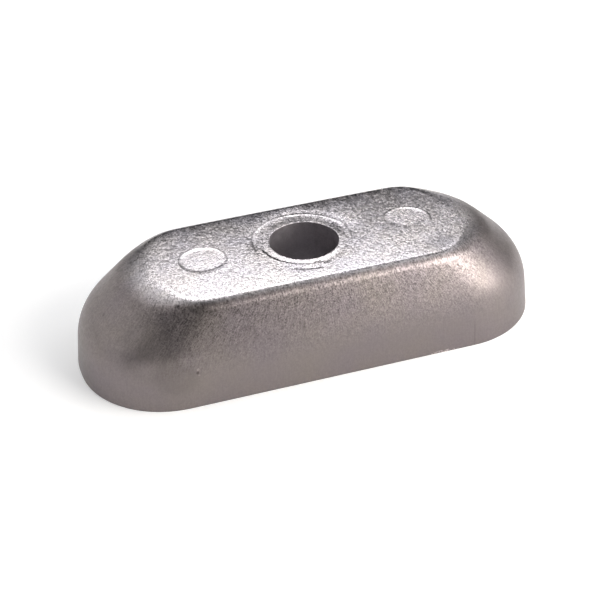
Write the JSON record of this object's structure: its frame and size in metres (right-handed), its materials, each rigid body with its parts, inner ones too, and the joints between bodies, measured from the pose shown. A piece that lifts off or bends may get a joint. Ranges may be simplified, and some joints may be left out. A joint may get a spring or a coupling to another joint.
{
  "type": "sacrificial anode",
  "caption": "Bolt-on sacrificial hull anode: a low oblong casting with sloping ends, a flat mounting face and a central bolt hole.",
  "frame": {"origin": "middle of the flat mounting face, on the bolt hole's axis", "axes": "+X along the length, +Y across the width, +Z away from the boat towards the bolt's head"},
  "size_m": [0.061, 0.024, 0.0135],
  "materials": {
    "cast_zinc": "as cast: coarse bright grain on the top, finer satin grain on the walls"
  },
  "bodies": {
    "root": {"anode_block": "cast_zinc"}
  },
  "joints": []
}
